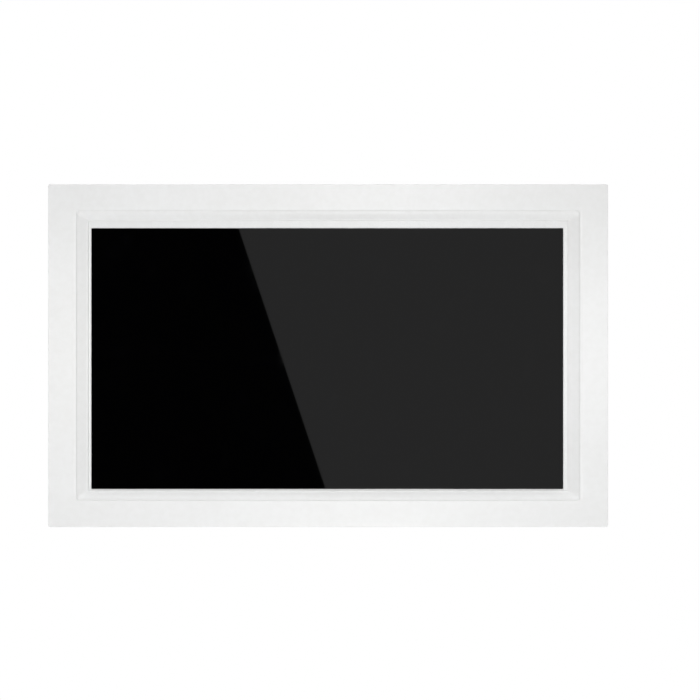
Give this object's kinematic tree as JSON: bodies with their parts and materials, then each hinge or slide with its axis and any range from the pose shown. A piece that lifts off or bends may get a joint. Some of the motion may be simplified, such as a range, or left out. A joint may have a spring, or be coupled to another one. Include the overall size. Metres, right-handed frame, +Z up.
{
  "type": "video intercom monitor",
  "caption": "Wall-hung indoor touch-screen monitor of a video door entry system, in a white stepped picture-frame moulding.",
  "frame": {"origin": "centre of the wall plate on its wall side, at the middle of its four wall screws", "axes": "+X to the right as seen from the room, +Z up, +Y into the wall; the room is on the -Y side"},
  "size_m": [0.279, 0.026, 0.171],
  "materials": {
    "white_plastic": "white satin moulded plastic",
    "shell_plastic": "white satin moulded plastic, front shell",
    "cover_plastic": "white fine-textured moulded plastic",
    "black_glass": "polished black-printed cover glass",
    "sensor_glass": "dark touch sensor glass",
    "lcd_glass": "dark liquid crystal cell",
    "black_foam": "black closed-cell foam",
    "flex_film": "amber polyimide ribbon",
    "sheet_steel": "bare pressed steel sheet",
    "screw_steel": "plated screws",
    "galvanised_steel": "galvanised sheet steel",
    "light_guide": "clear acrylic light guide over a white reflector",
    "board_white": "white solder mask with lamps",
    "board_green": "green solder mask over fibreglass",
    "clear_film": "milky insulating film",
    "brass": "turned brass",
    "chip_black": "black moulding compound",
    "aluminium": "plain aluminium",
    "ferrite": "dark grey ferrite",
    "relay_blue": "blue relay case",
    "cell_steel": "nickel-plated cell can",
    "socket_nylon": "natural nylon",
    "tinned_pins": "tinned brass pins",
    "terminal_green": "green terminal housing",
    "transformer_tape": "yellow winding tape round a ferrite core",
    "capacitor_sleeve": "black shrink sleeve",
    "ceramic": "ceramic fuse body",
    "switch_black": "black acetal",
    "card_black": "black memory card",
    "basket_black": "black-lacquered pressed basket",
    "magnet_plated": "plated magnet cup",
    "cone_paper": "black pressed paper cone",
    "soft_rubber": "soft black rubber",
    "wire_brown": "brown mains insulation",
    "wire_red": "red lead insulation",
    "wire_black": "black lead insulation"
  },
  "bodies": {
    "bracket": {"wall_plate": "galvanised_steel"},
    "monitor": {"backlight_guide": "light_guide", "backlight_strip": "board_white", "backup_cell": "cell_steel", "board_capacitors": "aluminium", "board_inductors": "ferrite", "board_screws": "screw_steel", "board_standoffs": "brass", "card_socket": "sheet_steel", "case_screws": "screw_steel", "cell_holder": "chip_black", "cover_glass": "black_glass", "decor_frame": "white_plastic", "door_relay": "relay_blue", "door_sockets": "socket_nylon", "flex_sockets": "socket_nylon", "frame_screws": "screw_steel", "front_shell": "shell_plastic", "glass_tape": "black_foam", "heat_sink": "aluminium", "insulating_sheet": "clear_film", "lcd_back_tray": "sheet_steel", "lcd_bezel": "sheet_steel", "lcd_bracket_screws": "screw_steel", "lcd_brackets": "sheet_steel", "lcd_cell": "lcd_glass", "lcd_driver_board": "board_green", "lcd_flex": "flex_film", "lcd_gasket": "black_foam", "main_board": "board_green", "mains_terminal": "terminal_green", "mains_wires": "wire_brown", "memory_chips": "chip_black", "microphone": "aluminium", "microphone_boot": "soft_rubber", "microphone_wires": "wire_black", "power_board": "board_green", "power_cable": "wire_red", "power_capacitors": "capacitor_sleeve", "power_fuse": "ceramic", "power_switch_body": "chip_black", "power_transformer": "transformer_tape", "processor": "chip_black", "rear_cover": "cover_plastic", "reset_switch_body": "chip_black", "side_board": "board_green", "side_flex": "flex_film", "socket_pins": "tinned_pins", "speaker_basket": "basket_black", "speaker_cone": "cone_paper", "speaker_gasket": "black_foam", "speaker_magnet": "magnet_plated", "speaker_wires": "wire_black", "terminal_board": "board_green", "touch_flex": "flex_film", "touch_sensor": "sensor_glass", "wire_sockets": "socket_nylon"},
    "power_switch": {"power_switch_slider": "switch_black"},
    "card": {"memory_card": "card_black"},
    "reset_button": {"reset_plunger": "switch_black"}
  },
  "joints": [
    {"name": "hang_lift", "type": "slide", "parent": "bracket", "child": "monitor", "axis": [0, 0, 1], "range_m": [0, 0.006]},
    {"name": "power_slide", "type": "slide", "parent": "monitor", "child": "power_switch", "axis": [0, 0, 1], "range_m": [-0.0025, 0]},
    {"name": "card_slide", "type": "slide", "parent": "monitor", "child": "card", "axis": [1, 0, 0], "range_m": [-0.0006, 0.013]},
    {"name": "reset_press", "type": "slide", "parent": "monitor", "child": "reset_button", "axis": [-1, 0, 0], "range_m": [0, 0.0003], "stiffness_N_per_m": 2000}
  ]
}
